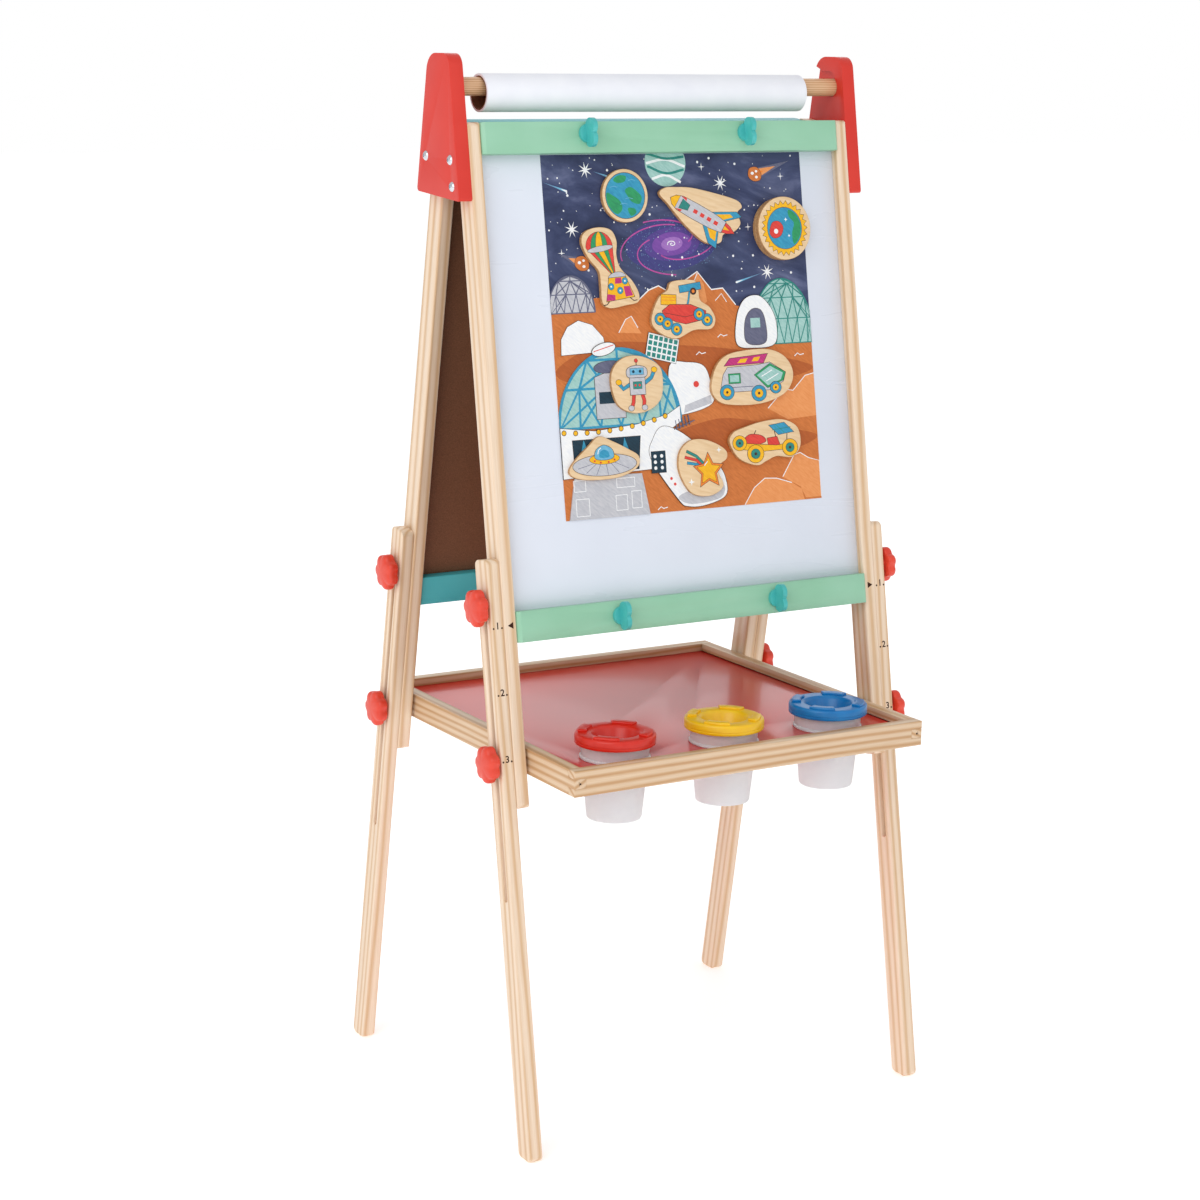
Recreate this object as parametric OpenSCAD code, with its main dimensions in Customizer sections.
/* [Frame] */
// Width over the outer faces of the legs
frame_w = 482; // [440:1:540]
// Lean of the front and rear frames from upright, in degrees
lean = 9.65; // [8.6:0.05:10.6]
// Height of the top of the posts
post_top_z = 1022; // [1000:1:1045]
// Distance between the outer faces of the two frames at the top of the posts
apex_d = 68; // [66:1:76]
// Width of a post, and of a leg, along X
stick_w = 14; // [13:0.5:15]
// Depth of a post
post_d = 28; // [26:0.5:30]
// Length of a post
post_len = 679; // [660:1:700]

/* [Legs] */
// Depth of a leg
leg_d = 26; // [24:0.5:28]
// Length of a leg, along its middle
leg_len = 608; // [590:1:620]
// Distance between two height marks
mark_step = 66.5; // [60:0.5:70]
// Distance along the post from the floor to the upper knob
upper_knob_s = 561; // [550:1:572]
// Distance along the post from the floor to the lower knob
lower_knob_s = 405; // [398:1:412]
// Diameter of a knob
knob_dia = 40; // [34:1:42]
// How far a knob stands out of the leg
knob_h = 16; // [14:0.5:20]
// Diameter of a knob's threaded stud
stud_dia = 6; // [5:0.5:7]

/* [Boards] */
// Height of a cross rail
rail_h = 31; // [27:0.5:34]
// Depth of a cross rail
rail_d = 28; // [24:0.5:28]
// How far a rail stands out in front of the posts
rail_proud = 4; // [1:0.5:5]
// Distance along the post from the floor to the lower edge of the bottom rail
bottom_rail_s = 523; // [520:1:530]
// Thickness of each board
board_t = 4; // [3:0.5:5]
// How far the face of a board lies behind the front of the posts
board_recess = 10; // [8:0.5:12]
// Width of the poster
poster_w = 314; // [280:1:330]
// Height of the poster
poster_h = 366; // [340:1:380]

/* [Brackets and roll] */
// Thickness of a bracket
bracket_t = 15; // [13:0.5:16]
// Height of the top of a bracket
bracket_top_z = 1087; // [1084:1:1095]
// Height of the middle of the rod
rod_z = 1055; // [1053:0.5:1057]
// Diameter of the rod
rod_dia = 18.5; // [17:0.5:19]
// Width of the paper roll
roll_w = 382; // [330:1:400]
// Outer diameter of the paper roll
roll_dia = 38.5; // [36:0.5:40]
// Bore of the cardboard core
core_bore = 31; // [30:0.5:32]

/* [Tray] */
// Width of the tray
tray_w = 420; // [416:1:422]
// Front edge of the tray, in front of the middle of the frame
tray_front = 230; // [222:1:234]
// Rear edge of the tray, behind the middle of the frame
tray_rear = 188; // [180:1:192]
// Height of a tray rail
tray_rail_h = 26; // [24:0.5:28]
// Thickness of a tray rail
tray_rail_t = 13; // [12:0.5:14]
// Distance between two paint cups
cup_pitch = 130; // [118:1:134]
// Diameter of a cup's lid
lid_dia = 82; // [78:0.5:84]

/* [Hidden] */
$fn = 64;

RED = "#E0402F";
MINT = "#9BCDAE";
TEAL = "#45AEB9";
PINE = "#EBD3B5";
STEEL = "#C8CACC";
BRASS = "#C9A54C";

gap = 0.05;                                 // radial clearance of a running fit
leg_x = frame_w / 2;                        // outer face of a leg
post_x = leg_x - stick_w;                   // outer face of a post
inner_x = post_x - stick_w;                 // inner face of a post
foot_y = apex_d / 2 + post_top_z * tan(lean);   // outer face of a frame, at the floor
foot_back = foot_y - (post_d - leg_d) / 2 / cos(lean);
shift_y = (tray_front - foot_back) / 2;     // puts the origin under the middle of the whole
mid_d = post_d / 2;                         // middle of a post, behind its front face
post_top_s = post_top_z / cos(lean);
post_low_s = post_top_s - post_len;
top_rail_s = post_top_s - rail_h - 1;
stud_r = stud_dia / 2;
slot_r = stud_r + 0.3;
leg_travel = 2 * mark_step;
insert_r = 4.5;                             // threaded insert that a knob's stud screws into
insert_len = 10;
blind_x = post_x - insert_len;              // inner end of a hole in a post, clear of the board's groove
tray_insert_len = 7;
stud_play = 0.2;                            // a stud or screw ends this far short of its hole
leg_foot_s = -stick_w;                      // the leg runs past the floor and is cut level with it
leg_top_s = leg_len;
pivot_s = 1003;                             // the bolt that the rear frame turns on
bracket_screw_s = [975, 1001];
screw_r = 2.5;
clip_x = 95;
clip_s = [bottom_rail_s + 16, top_rail_s + 19];
rod_y = -6.4;
rod_r = rod_dia / 2;
roll_x = -9;                                // the roll hangs a little to the left
roll_z = rod_z - core_bore / 2 + rod_r + 0.05;
rod_slot_deg = 21;
rod_pocket = 6;                             // depth of a bracket's rod slot
tray_z = lower_knob_s * cos(lean) + mid_d * -sin(lean);     // middle of a tray rail
tray_top_z = tray_z + tray_rail_h / 2;
panel_t = 4;
panel_z = tray_top_z - 9;                   // top face of the tray panel
cup_y = -tray_front + 58;
cup_r_top = 36;
cup_r_low = 28;
cup_low_z = panel_z - 62;
cup_top_z = panel_z + 22;
cup_wall = 1.8;
lid_r = lid_dia / 2;
token_t = 5;
poster_t = 0.4;

// ---- places ----

// Everything is drawn about the middle of the frame, then moved as one
module placed() {
    translate([0, shift_y, 0]) children();
}

// Along a frame: x across, y inwards from its outer face, z along its posts
module on_front() {
    placed() translate([0, -foot_y, 0]) rotate([-lean, 0, 0]) children();
}

module on_rear() {
    placed() mirror([0, 1, 0]) translate([0, -foot_y, 0]) rotate([-lean, 0, 0]) children();
}

module on_frame(rear) {
    if (rear) on_rear() children();
    else on_front() children();
}

// ---- shapes ----

// A rectangle with round corners, made of exact arcs
module round_rect(w, h, r) {
    translate([r, 0]) square([w - 2 * r, h]);
    translate([0, r]) square([w, h - 2 * r]);
    for (x = [r, w - r], y = [r, h - r]) translate([x, y]) circle(r);
}

// A bar of section w by d along z, with round long edges and round ends
module bar(w, d, len, edge, end) {
    intersection() {
        linear_extrude(len) round_rect(w, d, edge);
        translate([w, 0, 0]) rotate([0, -90, 0]) linear_extrude(w) round_rect(len, d, end);
    }
}

// A pin along X from x0 to x1, at depth y and distance s along a frame
module pin(x0, x1, y, s, r) {
    translate([min(x0, x1), y, s]) rotate([0, 90, 0]) cylinder(r = r, h = abs(x1 - x0));
}

// The points of a convex outline with its corners cut to arcs
function corner_arc(a, b, c, r, n) =
    let (u = (a - b) / norm(a - b), v = (c - b) / norm(c - b),
         half = acos(u * v) / 2, m = (u + v) / norm(u + v),
         o = b + m * r / sin(half), t0 = b + u * r / tan(half) - o, t1 = b + v * r / tan(half) - o)
    [for (i = [0:n]) let (k = i / n, d = t0 * (1 - k) + t1 * k) o + d * r / norm(d)];

function rounded(points, radii, n = 10) =
    let (count = len(points))
    [for (i = [0:count - 1])
        each corner_arc(points[(i + count - 1) % count], points[i], points[(i + 1) % count], radii[i], n)];

// A slot of radius r from point a to point b, made of exact arcs
module slot2(a, b, r) {
    d = b - a;
    translate(a) circle(r);
    translate(b) circle(r);
    translate(a) rotate(atan2(d[1], d[0])) translate([0, -r]) square([norm(d), 2 * r]);
}

// ---- brackets ----

// Half the depth of the frame at height z
function edge_y(z) = apex_d / 2 - 1 + (post_top_z - z) * tan(lean);

bracket_low_front = post_top_z - 77;
bracket_low_rear = bracket_low_front + 6;
bracket_outline = rounded(
    [[-edge_y(bracket_low_front), bracket_low_front], [edge_y(bracket_low_rear), bracket_low_rear],
     [edge_y(bracket_top_z), bracket_top_z], [-edge_y(bracket_top_z), bracket_top_z]],
    [3, 4, 19, 14]);

// The slot that the rod drops into from behind
module rod_slot() {
    seat = [rod_y, rod_z];
    roof = [rod_y + 5, rod_z + 7.5];
    way = 60 * [cos(rod_slot_deg), sin(rod_slot_deg)];
    slot2(seat, seat + way, rod_r + 0.35);
    slot2(seat, roof, rod_r + 0.35);
    slot2(roof, roof + [40, 0], rod_r + 0.35);
}

module bracket(side) {
    x_in = side * post_x;
    color(RED) placed() difference() {
        translate([side > 0 ? post_x : -post_x - bracket_t, 0, 0])
            rotate([90, 0, 90]) linear_extrude(bracket_t) polygon(bracket_outline);
        translate([side > 0 ? post_x - 1 : -post_x - rod_pocket, 0, 0])
            rotate([90, 0, 90]) linear_extrude(rod_pocket + 1) rod_slot();
        translate([0, -foot_y, 0]) rotate([-lean, 0, 0])
            for (s = bracket_screw_s)
                pin(x_in - side, x_in + side * (bracket_t + 1), mid_d, s, screw_r + gap);
        mirror([0, 1, 0]) translate([0, -foot_y, 0]) rotate([-lean, 0, 0])
            pin(x_in - side, x_in + side * (bracket_t + 1), mid_d, pivot_s, stud_r + gap);
    }
}

// A dome-headed screw whose shank runs inwards from the bracket's outer face
module dome_screw(side, s, r) {
    face = side * (post_x + bracket_t);
    pin(face, side * (blind_x + stud_play), mid_d, s, r);
    translate([face, mid_d, s]) rotate([0, side * 90, 0]) rotate_extrude() intersection() {
        translate([0, -4.5]) circle(7);
        square([4.6, 4]);
    }
}

module bracket_screws() {
    color(STEEL) on_front()
        for (side = [-1, 1], s = bracket_screw_s) dome_screw(side, s, screw_r);
}

module pivot_screws() {
    color(STEEL) on_rear()
        for (side = [-1, 1]) dome_screw(side, pivot_s, stud_r);
}

// ---- frames ----

module post(side, rear) {
    x0 = side > 0 ? inner_x : -post_x;
    color(PINE) on_frame(rear) difference() {
        translate([x0, 0, post_low_s]) bar(stick_w, post_d, post_len, 2, 6);
        // groove that holds the edge of the board
        translate([side > 0 ? inner_x - 1 : -inner_x - 3.1, board_recess - 0.1, bottom_rail_s + rail_h - 7])
            cube([4.1, board_t + 0.2, top_rail_s - bottom_rail_s - rail_h + 14]);
        // threaded inserts sit in the outer face, and the front frame has none in its lower holes
        for (s = [lower_knob_s, upper_knob_s])
            pin(side * blind_x, side * (post_x + 1), mid_d, s, stud_r + gap);
        for (s = rear ? [lower_knob_s, upper_knob_s] : [upper_knob_s])
            pin(side * blind_x, side * (post_x + 1), mid_d, s, insert_r);
        if (!rear) pin(side * (inner_x - 1), side * (blind_x + 1), mid_d, lower_knob_s, stud_r + gap);
        for (s = rear ? [pivot_s] : bracket_screw_s)
            pin(side * blind_x, side * (post_x + 1), mid_d, s, (rear ? stud_r : screw_r) + gap);
    }
}

module insert_at(side, s) {
    difference() {
        pin(side * blind_x, side * (post_x - 0.4), mid_d, s, insert_r);
        pin(side * (inner_x - 1), side * (post_x + 1), mid_d, s, stud_r + gap);
    }
}

module front_inserts() {
    color(BRASS) on_front() for (side = [-1, 1]) insert_at(side, upper_knob_s);
}

module rear_inserts() {
    color(BRASS) on_rear() for (side = [-1, 1], s = [lower_knob_s, upper_knob_s]) insert_at(side, s);
}

// A cross rail between the posts, with bevelled ends, grooved for the board on one edge
module cross_rail(s, groove_up) {
    bevel = 3;
    difference() {
        translate([0, 0, s]) linear_extrude(rail_h) polygon([
            [-inner_x, -rail_proud + bevel], [-inner_x + bevel, -rail_proud],
            [inner_x - bevel, -rail_proud], [inner_x, -rail_proud + bevel],
            [inner_x, rail_d - rail_proud], [-inner_x, rail_d - rail_proud]]);
        translate([-inner_x - 1, board_recess - 0.1, groove_up ? s + rail_h - 6 : s - 1])
            cube([2 * inner_x + 2, board_t + 0.2, 7]);
    }
}

module clip_holes(s) {
    for (x = [-clip_x, clip_x])
        translate([x, -rail_proud - 1, s]) rotate([-90, 0, 0]) cylinder(r = 3 + gap, h = 14.2);
}

module front_top_rail() {
    color(MINT) on_front() difference() {
        cross_rail(top_rail_s, false);
        clip_holes(clip_s[1]);
    }
}

module front_bottom_rail() {
    color(MINT) on_front() difference() {
        cross_rail(bottom_rail_s, true);
        clip_holes(clip_s[0]);
    }
}

module rear_top_rail() {
    color(TEAL) on_rear() cross_rail(top_rail_s, false);
}

module rear_bottom_rail() {
    color(TEAL) on_rear() cross_rail(bottom_rail_s, true);
}

// A board, its edges in the grooves of the posts and the rails
module board() {
    low = bottom_rail_s + rail_h - 5.5;
    translate([-inner_x - 2.8, board_recess, low])
        cube([2 * inner_x + 5.6, board_t, top_rail_s + 5.5 - low]);
}

module whiteboard() {
    color("#E8EDF6") on_front() board();
}

module chalkboard() {
    color("#7A5034") on_rear() board();
}

module poster() {
    color("#3B4A7A") on_front()
        translate([-poster_w / 2 + 14, board_recess - poster_t, top_rail_s - poster_h - 0.3])
            cube([poster_w, poster_t, poster_h]);
}

// ---- turn clips ----

module clip(x, s) {
    color("#52C0BE") on_front() translate([x, -rail_proud, s]) rotate([90, 0, 0]) {
        translate([0, 0, -12]) cylinder(r = 3, h = 13);
        cylinder(r = 9.5, h = 4);
        // thumb fin, wider at the top than at the bottom
        translate([-2.5, 0, 0]) rotate([90, 0, 90]) linear_extrude(5) intersection() {
            union() {
                translate([-6, 9]) circle(8.5);
                translate([6, 10]) circle(8.5);
                translate([-6, 2]) square([12, 12]);
            }
            translate([-15, 2]) square([30, 17]);
        }
    }
}

// ---- legs and knobs ----

module leg(side, rear) {
    x0 = side > 0 ? post_x : -leg_x;
    inset = (post_d - leg_d) / 2;
    color(PINE) difference() {
        on_frame(rear) difference() {
            translate([x0, inset, leg_foot_s]) bar(stick_w, leg_d, leg_top_s - leg_foot_s, 2, 6);
            // the long slot that both studs run in
            translate([x0 - 1, 0, 0]) rotate([90, 0, 90]) linear_extrude(stick_w + 2)
                slot2([mid_d, lower_knob_s - leg_travel - 7], [mid_d, upper_knob_s + 1], slot_r);
        }
        // the foot, cut level with the floor
        translate([-frame_w, -frame_w, -100]) cube([2 * frame_w, 2 * frame_w, 100]);
    }
}

// A lobed knob moulded on a steel stud that ends at distance reach from the middle
module knob(side, rear, s, reach) {
    lobes = 7;
    color("#EA3A20") on_frame(rear) {
        pin(side * (leg_x + 5), side * reach, mid_d, s, stud_r);
        translate([side * leg_x, mid_d, s]) rotate([0, side * 90, 0]) {
            cylinder(r = 10, h = 3.2);
            translate([0, 0, 3]) {
                cylinder(r = knob_dia / 2 - 4.5, h = knob_h - 6);
                for (i = [0:lobes - 1]) rotate(i * 360 / lobes)
                    translate([knob_dia / 2 - 5.2, 0, 0]) cylinder(r = 5.2, h = knob_h - 8);
                translate([0, 0, knob_h - 6.1]) intersection() {
                    translate([0, 0, -34]) sphere(r = 37.1);
                    cylinder(r = knob_dia / 2 - 4.5, h = 4);
                }
            }
        }
    }
}

// ---- tray ----

tray_x = tray_w / 2;
tray_stud_x = tray_x - tray_insert_len + stud_play;   // inner end of a stud that enters the tray
finger_h = 10;                              // the side rail's finger that shows at each corner

module tray_cross_rail(y0) {
    difference() {
        translate([-tray_x, y0, tray_z - tray_rail_h / 2]) cube([tray_w, tray_rail_t, tray_rail_h]);
        for (side = [-1, 1])
            translate([side > 0 ? tray_x - tray_rail_t : -tray_x - 1, y0 - 1, tray_z - finger_h / 2])
                cube([tray_rail_t + 1, tray_rail_t + 2, finger_h]);
        tray_groove();
    }
}

module tray_groove() {
    translate([-tray_x + tray_rail_t - 5, -tray_front + tray_rail_t - 5, panel_z - panel_t - 0.1])
        cube([tray_w - 2 * tray_rail_t + 10, tray_front + tray_rear - 2 * tray_rail_t + 10, panel_t + 0.2]);
}

module tray_side_rail(side) {
    x0 = side > 0 ? tray_x - tray_rail_t : -tray_x;
    depth = tray_front + tray_rear;
    color(PINE) placed() difference() {
        union() {
            translate([x0, -tray_front + tray_rail_t, tray_z - tray_rail_h / 2])
                cube([tray_rail_t, depth - 2 * tray_rail_t, tray_rail_h]);
            translate([x0, -tray_front, tray_z - finger_h / 2]) cube([tray_rail_t, depth, finger_h]);
        }
        tray_groove();
        tray_stud_pin(side, insert_r, -1, tray_insert_len);
    }
}

// A pin along the front lower stud, from depth d0 to d1 behind the tray's outer side face
module tray_stud_pin(side, r, d0, d1) {
    translate([0, -foot_y, 0]) rotate([-lean, 0, 0])
        pin(side * (tray_x - d0), side * (tray_x - d1), mid_d, lower_knob_s, r);
}

module tray_front_rail() {
    color(PINE) placed() tray_cross_rail(-tray_front);
}

module tray_rear_rail() {
    color(PINE) placed() tray_cross_rail(tray_rear - tray_rail_t);
}

module tray_inserts() {
    color(BRASS) placed() for (side = [-1, 1]) difference() {
        tray_stud_pin(side, insert_r, 0.4, tray_insert_len);
        tray_stud_pin(side, stud_r + gap, -1, tray_rail_t);
    }
}

module tray_panel() {
    color("#E0301E") placed() difference() {
        translate([-tray_x + tray_rail_t - 4.7, -tray_front + tray_rail_t - 4.7, panel_z - panel_t])
            cube([tray_w - 2 * tray_rail_t + 9.4, tray_front + tray_rear - 2 * tray_rail_t + 9.4, panel_t]);
        for (i = [-1:1]) translate([i * cup_pitch, cup_y, panel_z - panel_t - 1])
            cylinder(r = 35, h = panel_t + 2);
    }
}

// ---- paint cups ----

module at_cup(i) {
    placed() translate([i * cup_pitch, cup_y, 0]) children();
}

// Outer radius of a cup at height z
function cup_r(z) = cup_r_low + (cup_r_top - cup_r_low) * (z - cup_low_z) / (cup_top_z - cup_low_z);

module cup(i) {
    foot_r = cup_r_low;
    ledge = panel_z + 0.1;
    color("#EEF2F6", 0.6) at_cup(i) rotate_extrude() polygon([
        [0, cup_low_z], [foot_r - 1.5, cup_low_z], [foot_r, cup_low_z + 1.5],
        [cup_r(panel_z), ledge], [cup_r(panel_z) + 2, ledge], [cup_r(panel_z) + 2, ledge + 2],
        [cup_r(panel_z + 4), ledge + 3], [cup_r_top, cup_top_z], [cup_r_top - cup_wall, cup_top_z],
        [foot_r - cup_wall, cup_low_z + 3], [0, cup_low_z + 2]]);
}

// The lid: a skirt over the cup's rim and a funnel that stops the paint from spilling
module lid(i, tone) {
    skirt_z = cup_top_z - 7;
    top_z = cup_top_z + 4;
    color(tone) at_cup(i) {
        rotate_extrude() polygon([
            [cup_r_top + 0.3, skirt_z], [lid_r - 1, skirt_z], [lid_r, skirt_z + 1.5],
            [lid_r, top_z - 2], [lid_r - 2, top_z], [25, top_z], [22.5, top_z - 3],
            [8, cup_low_z + 22], [10, cup_low_z + 22], [24.7, cup_top_z + 0.1],
            [cup_r_top + 0.3, cup_top_z + 0.1]]);
        // raised crescents around the rim
        translate([0, 0, top_z - 0.5]) difference() {
            cylinder(r = lid_r - 3, h = 3);
            translate([0, 0, -1]) cylinder(r = 28, h = 5);
            for (a = [0, 90]) rotate(a) translate([-lid_r, -12, -1]) cube([2 * lid_r, 24, 5]);
        }
    }
}

// ---- paper roll ----

module tube_x(x, w, r_out, r_in, z) {
    placed() translate([x - w / 2, rod_y, z]) rotate([0, 90, 0]) difference() {
        cylinder(r = r_out, h = w);
        translate([0, 0, -1]) cylinder(r = r_in, h = w + 2);
    }
}

module roll_rod() {
    len = 2 * (post_x + rod_pocket - 0.3);
    color("#DDBB8C") placed() translate([-len / 2, rod_y, rod_z]) rotate([0, 90, 0])
        cylinder(r = rod_r, h = len);
}

module roll_core() {
    color("#8A5A3C") tube_x(roll_x, roll_w, core_bore / 2 + 1.2, core_bore / 2, roll_z);
}

module paper_roll() {
    color("white") tube_x(roll_x, roll_w, roll_dia / 2, core_bore / 2 + 1.2, roll_z);
}

// ---- magnet tokens ----

// A wooden token with its middle at x, s on the front board
module token(x, s, w, h, r, t = token_t) {
    color("#D9B58A") on_front() translate([x, board_recess - poster_t, s])
        rotate([90, 0, 0]) linear_extrude(t) translate([-w / 2, -h / 2]) round_rect(w, h, r);
}

module token_disc(x, s, r, t = token_t) {
    color("#D9B58A") on_front() translate([x, board_recess - poster_t, s])
        rotate([90, 0, 0]) cylinder(r = r, h = t);
}

bracket(-1);  // left_bracket
bracket(1);  // right_bracket
post(-1, false);  // front_left_post
post(1, false);  // front_right_post
front_top_rail();
front_bottom_rail();
whiteboard();
poster();
bracket_screws();
front_inserts();
post(-1, true);  // rear_left_post
post(1, true);  // rear_right_post
rear_top_rail();
rear_bottom_rail();
chalkboard();
pivot_screws();
rear_inserts();
leg(-1, false);  // front_left_leg
leg(1, false);  // front_right_leg
leg(-1, true);  // rear_left_leg
leg(1, true);  // rear_right_leg
knob(-1, false, upper_knob_s, blind_x + stud_play);  // front_left_upper_knob
knob(-1, false, lower_knob_s, tray_stud_x);  // front_left_lower_knob
knob(1, false, upper_knob_s, blind_x + stud_play);  // front_right_upper_knob
knob(1, false, lower_knob_s, tray_stud_x);  // front_right_lower_knob
knob(-1, true, upper_knob_s, blind_x + stud_play);  // rear_left_upper_knob
knob(-1, true, lower_knob_s, blind_x + stud_play);  // rear_left_lower_knob
knob(1, true, upper_knob_s, blind_x + stud_play);  // rear_right_upper_knob
knob(1, true, lower_knob_s, blind_x + stud_play);  // rear_right_lower_knob
clip(-clip_x, clip_s[1]);  // top_left_clip
clip(clip_x, clip_s[1]);  // top_right_clip
clip(-clip_x, clip_s[0]);  // bottom_left_clip
clip(clip_x, clip_s[0]);  // bottom_right_clip
tray_front_rail();
tray_rear_rail();
tray_side_rail(-1);  // tray_left_rail
tray_side_rail(1);  // tray_right_rail
tray_panel();
tray_inserts();
cup(-1);  // red_cup
cup(0);  // yellow_cup
cup(1);  // blue_cup
lid(-1, "#E02C14");  // red_lid
lid(0, "#F3C80F");  // yellow_lid
lid(1, "#0F86D0");  // blue_lid
roll_rod();
roll_core();
paper_roll();
token_disc(-50, 962, 27);  // planet_token
token(41, 940, 100, 60, 26);  // rocket_token
token_disc(138, 924, 33, 12);  // sun_token
token(-73, 890, 64, 82, 28);  // capsule_token
token(10, 845, 78, 60, 24);  // rover_token
token(-51, 771, 62, 59, 26);  // robot_token
token(-96, 699, 84, 44, 20);  // saucer_token
token(90, 771, 104, 58, 24);  // camper_token
token(101, 702, 90, 47, 20);  // buggy_token
token(22, 681, 61, 60, 26);  // star_token
